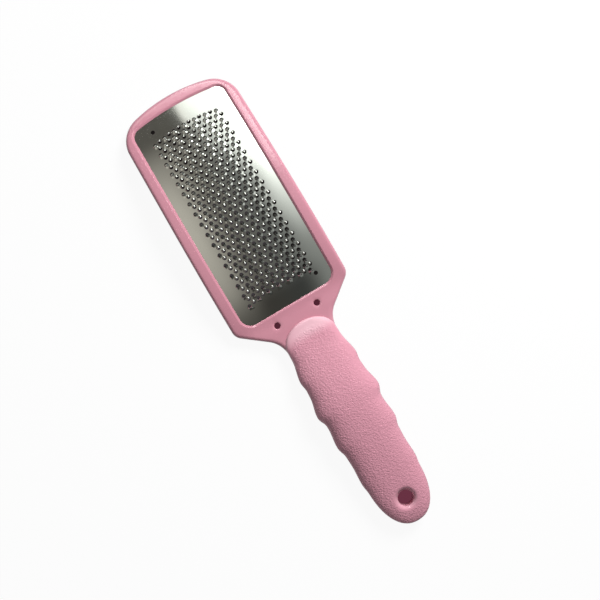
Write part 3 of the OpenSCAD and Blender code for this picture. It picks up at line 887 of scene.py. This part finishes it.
def grip_rubber(sizes):
    """Soft rubber with a fine leather-like grain and a few tiny dark specks, left smooth round the
    hanging hole and round the tongue's edge. The tongue and the dish of the hole are painted
    paler, as a painted sheen."""
    material, tree = new_material("grip_rubber")
    at, (x, y, _) = tree.place()
    mask = tree.node("ShaderNodeAttribute", {"attribute_name": "grain_share"}, {}, "Fac")
    bent = tree.node("ShaderNodeVectorMath", {"operation": "MULTIPLY_ADD"}, {
        0: tree.noise(at, 0.5, 2.0, "Color"), 1: (1.4, 1.4, 1.4), 2: at})
    cell = tree.node("ShaderNodeTexVoronoi", {"feature": "SMOOTH_F1"}, {
        "Vector": tree.stretch(bent, (1.0, 1.25, 1.0)), "Scale": 1.0 / sizes.grain_size,
        "Smoothness": 0.6}, "Distance")
    fine = tree.noise(at, 2.4)
    hole = tree.distance(tree.stretch(at, (1.0, 1.0, 0.0)), (0.0, HANG_Y, 0.0))
    dish = hole.smooth(DISH_R, DISH_FULL_R)
    height = (cell * 1.1 + fine * 0.35) * mask - DISH_H * dish
    spots = tree.node("ShaderNodeTexVoronoi", {}, {"Vector": at, "Scale": 0.055}, "Distance")
    speck = spots.smooth(0.022, 0.012) * mask
    pit = cell.smooth(0.15, 0.6) * mask
    # Painted sheen: the tongue is made paler, more so to the right, where the light falls on it
    painted_sheen = y.smooth(PAINTED_SHEEN_START_Y, PAINTED_SHEEN_FULL_Y) * (0.65 + 0.35 * x.smooth(PAINTED_SHEEN_START_X, PAINTED_SHEEN_FULL_X))
    colour = tree.mix(pit * 0.35, tint(sizes.grip_colour), tint(sizes.grip_colour, 0.84))
    # Painted sheen: the dish round the hanging hole is made paler too, by the same colour
    colour = tree.mix((painted_sheen + dish * 0.45).clamp(), colour, PAINTED_SHEEN_COLOUR)
    tree.surface(tree.node("ShaderNodeBsdfPrincipled", {}, {
        "Base Color": tree.mix(speck * 0.7, colour, SPECK_COLOUR),
        "Roughness": 0.3 + (0.16 + 0.12 * fine) * mask,
        "IOR": 1.47,
        "Normal": tree.bump(height, sizes.grain_depth),
    }))
    return material


# Sizes and colours that a user would change


def colour_setting(name, part, default):
    """A colour, as three numbers from 0 to 1, that a user can change."""
    return bpy.props.FloatVectorProperty(
        name=name, description=f"Colour of the {part}", subtype="COLOR", size=3,
        min=0.0, max=1.0, default=default)


def length_setting(name, what, low, high, default):
    """A length in millimetres, with its limits, that a user can change."""
    return bpy.props.FloatProperty(
        name=name, description=f"{what}, in millimetres", min=low, max=high, default=default)


class FootFileSizes(bpy.types.PropertyGroup):
    """Colours and finish of the foot file."""

    steel_colour: colour_setting("Steel", "rasp plate", (0.56, 0.56, 0.53))
    frame_colour: colour_setting("Frame", "hard plastic frame", (0.585, 0.255, 0.32))
    grip_colour: colour_setting("Grip", "soft grip", (0.675, 0.305, 0.385))
    grain_size: length_setting("Grain size", "Width of one cell of the grip's grain", 0.3, 3.0, 0.95)
    grain_depth: length_setting("Grain depth", "Depth of the grip's grain", 0.0, 0.5, 0.25)
    steel_wave: length_setting(
        "Steel wave", "Height of the slight waves that punching leaves", 0.0, 0.1, 0.008)


# Operators


# Turn in degrees from face to face beyond which an edge is drawn sharp
RASP_SHARP, FRAME_SHARP, GRIP_SHARP = 40, 50, 60


def finish_piece(piece, material, node):
    """Gives a piece its material and lets it stand for its CAD node."""
    piece.data.materials.append(material)
    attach(piece, "root")
    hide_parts(node)


class FOOTFILE_OT_rasp_plate(bpy.types.Operator):
    """Build the bent steel plate with its rows of punched teeth"""

    bl_idname = "footfile.rasp_plate"
    bl_label = "Rasp plate"

    def execute(self, context):
        sizes = context.scene.foot_file
        piece = rasp_shell(sizes.steel_wave).mesh("rasp_sheet", RASP_SHARP)
        finish_piece(piece, rasp_steel(sizes), "rasp_plate")
        return {"FINISHED"}


class FOOTFILE_OT_frame(bpy.types.Operator):
    """Build the moulded frame: rim, neck and the core of the handle"""

    bl_idname = "footfile.frame"
    bl_label = "Frame"

    def execute(self, context):
        sizes = context.scene.foot_file
        piece = frame_shell().mesh("frame_moulding", FRAME_SHARP)
        finish_piece(piece, frame_plastic(sizes), "frame")
        return {"FINISHED"}


class FOOTFILE_OT_grip(bpy.types.Operator):
    """Build the soft grip with its finger waves and dished hanging hole"""

    bl_idname = "footfile.grip"
    bl_label = "Grip"

    def execute(self, context):
        sizes = context.scene.foot_file
        piece = grip_shell().mesh("grip_skin", GRIP_SHARP)
        data = piece.data
        co = np.zeros(3 * len(data.vertices), np.float32)
        data.vertices.foreach_get("co", co)
        share = grain_share(co.reshape(-1, 3) / MM)
        layer = data.attributes.new("grain_share", "FLOAT", "POINT")
        layer.data.foreach_set("value", share.astype(np.float32))
        finish_piece(piece, grip_rubber(sizes), "grip")
        return {"FINISHED"}


# Camera: its turn in degrees, the head's middle seen from it, the sine of its roll, and its lens
CAMERA_TURN = (-2.42, 2.06, -0.02)
CAMERA_SHIFT = (-4.74, 60.5, -454.7)
CAMERA_ROLL = 0.5086
CAMERA_LENS, SENSOR_W = 54.0, 36.0

# Lamp: its place, its side and its power in watts. Sky: its level for rays that aren't seen
KEY_PLACE, KEY_SIZE, KEY_POWER = (485, 247, 475), 300, 6.75
SKY_LEVEL = 0.22

# Floor: half its side, its height, and its share of plain white where it is seen
FLOOR_HALF, FLOOR_Z, FLOOR_WHITE_SHARE = 1500, -0.1, 0.93
WHITE = (1.0, 1.0, 1.0)
# The floor's grey, its colour where it is seen, and the painted shade that it takes under the openings
FLOOR_GREY, FLOOR_SEEN, FLOOR_PAINTED_SHADE = (0.32, 0.32, 0.32), (0.86, 0.86, 0.86), (0.03, 0.012, 0.016)

# Painted shade on the floor where it shows through the openings: where, and in which colours,
# nearly black under the head with a paler lower left, dark pink in the holes. A region is a list
# of soft edges, each an axis, the place where it starts and the place where it is full
HEAD_OPENING = (("across", 28.0, 24.0), ("y", -3.0, 3.0), ("y", 121.0, 116.0))
NECK_OPENINGS = (("across", 19.0, 15.5), ("y", -13.0, -9.5), ("y", 6.0, 0.0))
HANG_OPENING_R, HANG_OPENING_FULL_R = 8.0, 6.0
HEAD_LOWER_LEFT = (("y", 100.0, 50.0), ("x", 17.0, 0.0))
HEAD_PAINTED_SHADE, HEAD_PAINTED_SHADE_PALER = (0.012, 0.01, 0.01), (0.05, 0.043, 0.048)
HANG_PAINTED_SHADE, NECK_PAINTED_SHADE = (0.15, 0.035, 0.06), (0.085, 0.02, 0.034)

# Reflection tent: half its width, its ends, its top over the head and its lower edge
TENT_HALF_W, TENT_START_Y, TENT_END_Y, TENT_H, TENT_LOW_Z = 300, -330, 620, 160.0, 0.5

# The bright pane of the tent. Its left edge is EDGE_X at EDGE_Y, and below that it goes right by a
# slope and a curve and gets softer
EDGE_X, EDGE_Y, EDGE_SLOPE, EDGE_CURVE = 5.0, 291.0, 0.03, 0.0005
EDGE_SOFT, EDGE_SOFT_LOW, EDGE_LOW = 1.2, 12.0, (("y", 300.0, 60.0),)
PANE_ENDS = (("y", 60.0, 130.0), ("x", 100.0, 70.0))
PANE_LEVEL, PANE_EDGE_LEVEL = 1.3, 0.4
PANE_DIM, PANE_DIM_LEVEL = (("x", 33.0, 20.0), ("y", 262.0, 225.0)), 0.65
PANE_BRIGHT, PANE_BRIGHT_LEVEL = (("x", 37.0, 47.0), ("y", 90.0, 130.0)), 9.5

# The rest of the tent: the dark, which rises towards the tip, then the right, the left, the middle
# and a glow past the tip
DARK_LEVEL, DARK_RISE, DARK_RISE_LEVEL = 0.065, (("y", -60.0, 200.0),), 0.07
RIGHT_WALL, RIGHT_LEVEL = (("x", 19.0, 42.0), ("x", 110.0, 60.0)), 0.25
RIGHT_RISE, RIGHT_RISE_LEVEL = (("y", -30.0, 130.0),), 1.5
LEFT_WALL = (("x", -6.0, -30.0), ("x", -250.0, -140.0), ("y", -130.0, 60.0), ("y", 265.0, 95.0))
MIDDLE_BAND, MIDDLE_LEVEL, LEFT_LEVEL = (("y", -75.0, -20.0), ("y", 260.0, 190.0)), 0.095, 0.48
TIP_GLOW = (("y", 335.0, 355.0), ("y", 470.0, 400.0), ("x", -80.0, -30.0), ("x", 60.0, 40.0))
GLOW_LEVEL = 6.5
WARM, COOL, COOL_SIDE = (1.0, 0.96, 0.86), (0.95, 1.0, 0.96), (("x", -10.0, 20.0),)


def turn_matrix(degrees):
    """Rotation about a vector by its length in degrees: the identity, plus the sine of the angle
    times the unit vector's cross-product matrix, plus 1 less the cosine times its square."""
    w = np.radians(degrees)
    angle = np.linalg.norm(w)
    k = w / angle
    cross = np.array([[0, -k[2], k[1]], [k[2], 0, -k[0]], [-k[1], k[0], 0]])
    return np.eye(3) + np.sin(angle) * cross + (1 - np.cos(angle)) * cross @ cross


def add_camera(scene):
    """Camera of the photograph's view: placed from the head's middle, then rolled."""
    turn = turn_matrix(CAMERA_TURN)
    place = -turn.T @ np.array(CAMERA_SHIFT) + [0, HEAD_Y, CROWN_Z]
    c = math.sqrt(1 - CAMERA_ROLL ** 2)
    axes = turn.T @ np.array([[c, CAMERA_ROLL, 0], [-CAMERA_ROLL, c, 0], [0, 0, 1]])
    data = bpy.data.cameras.new("camera")
    data.lens, data.sensor_width, data.clip_start = CAMERA_LENS, SENSOR_W, 0.01
    camera = bpy.data.objects.new("camera", data)
    camera.matrix_world = Matrix.Translation(Vector(place * MM)) @ Matrix(axes.tolist()).to_4x4()
    scene.collection.objects.link(camera)
    scene.camera = camera


def stage_mesh(name, points, faces, material):
    """A piece of the stage from points in millimetres."""
    data = bpy.data.meshes.new(name)
    data.from_pydata([(x * MM, y * MM, z * MM) for x, y, z in points], [], faces)
    data.materials.append(material)
    made = bpy.data.objects.new(name, data)
    bpy.context.scene.collection.objects.link(made)
    return made


def seen_share(tree):
    """1 for rays that the camera, a reflection or a refraction sends out, and 0 for the others."""
    path = [tree.node("ShaderNodeLightPath", {}, {}, name)
            for name in ("Is Camera Ray", "Is Glossy Ray", "Is Transmission Ray")]
    return (path[0] + path[1] + path[2]).clamp()


def add_floor():
    """Pale floor, white where the camera or a reflection sees it, but for the object's shadow.
    What shows through the head's window is painted shade, nearly black and a little paler at its
    lower left, and what shows through the neck's holes and the hanging hole is painted shade in dark
    pink."""
    material, tree = new_material("floor_paper")
    at, (x, y, _) = tree.place()
    axes = {"x": x, "y": y, "across": abs(x)}
    seen = seen_share(tree)
    neck = region(axes, NECK_OPENINGS)
    hang = tree.distance(at, (0.0, HANG_Y, 0.0)).smooth(HANG_OPENING_R, HANG_OPENING_FULL_R)
    # Painted shade: where the floor shows through the openings it is dark, and dark pink in the holes
    under = (region(axes, HEAD_OPENING) + neck + hang).clamp()
    pale = tree.mix(seen, FLOOR_GREY, FLOOR_SEEN)
    paper = tree.node("ShaderNodeBsdfDiffuse", {}, {"Color": tree.mix(under, pale, FLOOR_PAINTED_SHADE)})
    shade = tree.mix(region(axes, HEAD_LOWER_LEFT), HEAD_PAINTED_SHADE, HEAD_PAINTED_SHADE_PALER)
    shade = tree.mix(neck, tree.mix(hang, shade, HANG_PAINTED_SHADE), NECK_PAINTED_SHADE)
    white = tree.node("ShaderNodeEmission", {}, {
        "Color": tree.mix(under, WHITE, shade), "Strength": 1.0})
    share = seen * FLOOR_WHITE_SHARE
    tree.surface(tree.node("ShaderNodeMixShader", {}, {0: share, 1: paper, 2: white}))
    corners = ((-1, -1), (1, -1), (1, 1), (-1, 1))
    stage_mesh("floor", [(FLOOR_HALF * a, FLOOR_HALF * b, FLOOR_Z) for a, b in corners],
               [(0, 1, 2, 3)], material)


def add_reflection_tent():
    """What the steel mirrors, as an open box over the object that only reflections see: a bright
    pane to the upper right with a bent edge, a glow past the tip, dim walls on the left and the
    right, and dark elsewhere."""
    material, tree = new_material("reflection_tent")
    _, (x, y, _) = tree.place()
    axes = {"x": x, "y": y}
    down = EDGE_Y - y
    edge = x - (EDGE_X + down * (EDGE_SLOPE + down * EDGE_CURVE))
    soft = EDGE_SOFT + EDGE_SOFT_LOW * region(axes, EDGE_LOW)
    pane = (edge / soft).smooth(-1.0, 1.2) * region(axes, PANE_ENDS)
    pane_level = (PANE_LEVEL - PANE_DIM_LEVEL * region(axes, PANE_DIM)
                  + PANE_EDGE_LEVEL * edge.smooth(3.0, 14.0)
                  + PANE_BRIGHT_LEVEL * region(axes, PANE_BRIGHT))
    right = region(axes, RIGHT_WALL) * (RIGHT_LEVEL + RIGHT_RISE_LEVEL * region(axes, RIGHT_RISE))
    level = (DARK_LEVEL + DARK_RISE_LEVEL * region(axes, DARK_RISE)
             + MIDDLE_LEVEL * region(axes, MIDDLE_BAND) + pane * pane_level + (1 - pane) * right
             + LEFT_LEVEL * region(axes, LEFT_WALL) + GLOW_LEVEL * region(axes, TIP_GLOW))
    colour = tree.node("ShaderNodeVectorMath", {"operation": "SCALE"}, {
        0: tree.mix(region(axes, COOL_SIDE), WARM, COOL), "Scale": level})
    tree.surface(tree.node("ShaderNodeEmission", {}, {"Color": colour, "Strength": 1.0}))
    corners = [(a * TENT_HALF_W, b) for a, b in (
        (-1, TENT_START_Y), (1, TENT_START_Y), (1, TENT_END_Y), (-1, TENT_END_Y))]
    points = [(*c, z) for z in (CROWN_Z + TENT_H, TENT_LOW_Z) for c in corners]
    walls = [(i, (i + 1) % 4, (i + 1) % 4 + 4, i + 4) for i in range(4)]
    tent = stage_mesh("reflection_tent", points, [(0, 1, 2, 3), *walls], material)
    tent.visible_camera = tent.visible_diffuse = tent.visible_shadow = False
    tent.visible_transmission = False


def add_lamp(name, place, target, size, power):
    """A soft square lamp at a place, aimed at a target, in millimetres and watts. Reflections
    don't see it."""
    data = bpy.data.lights.new(name, "AREA")
    data.shape, data.size, data.energy = "SQUARE", size * MM, power
    lamp = bpy.data.objects.new(name, data)
    place, target = Vector(place) * MM, Vector(target) * MM
    aim = (place - target).to_track_quat("Z", "Y").to_matrix().to_4x4()
    lamp.matrix_world = Matrix.Translation(place) @ aim
    lamp.visible_glossy = False
    bpy.context.scene.collection.objects.link(lamp)


class FOOTFILE_OT_stage(bpy.types.Operator):
    """Add the camera, the pale floor, the reflection tent, the soft lamp and the white sky"""

    bl_idname = "footfile.stage"
    bl_label = "Camera, floor and light"

    def execute(self, context):
        scene = context.scene
        add_camera(scene)
        add_floor()
        add_reflection_tent()
        add_lamp("key_lamp", KEY_PLACE, (0, 0, 0), KEY_SIZE, KEY_POWER)
        scene.world = bpy.data.worlds.new("studio")
        tree = Tree(scene.world)
        level = SKY_LEVEL + (1 - SKY_LEVEL) * seen_share(tree)
        sky = tree.node("ShaderNodeBackground", {}, {"Color": (*WHITE, 1), "Strength": level})
        tree.node("ShaderNodeOutputWorld", {}, {"Surface": sky})
        scene.view_settings.view_transform = "Standard"
        return {"FINISHED"}


class FOOTFILE_PT_panel(bpy.types.Panel):
    """Lists the foot file's pieces"""

    bl_label = "Foot file"
    bl_idname = "FOOTFILE_PT_panel"
    bl_space_type = "VIEW_3D"
    bl_region_type = "UI"
    bl_category = "Foot file"

    def draw(self, context):
        sizes = context.scene.foot_file
        for name in FootFileSizes.__annotations__:
            self.layout.prop(sizes, name)
        for operator in OPERATORS:
            self.layout.operator(operator.bl_idname)


OPERATORS = (FOOTFILE_OT_rasp_plate, FOOTFILE_OT_frame, FOOTFILE_OT_grip, FOOTFILE_OT_stage)
CLASSES = (FootFileSizes, *OPERATORS, FOOTFILE_PT_panel)


def register():
    """Registers the classes and gives the scene its settings."""
    for cls in CLASSES:
        bpy.utils.register_class(cls)
    bpy.types.Scene.foot_file = bpy.props.PointerProperty(type=FootFileSizes)


def unregister():
    """Takes back what register did."""
    del bpy.types.Scene.foot_file
    for cls in reversed(CLASSES):
        bpy.utils.unregister_class(cls)


def main():
    """Builds every piece and the stage."""
    register()
    bpy.ops.footfile.rasp_plate()
    bpy.ops.footfile.frame()
    bpy.ops.footfile.grip()
    bpy.ops.footfile.stage()


if __name__ == "__main__":
    main()
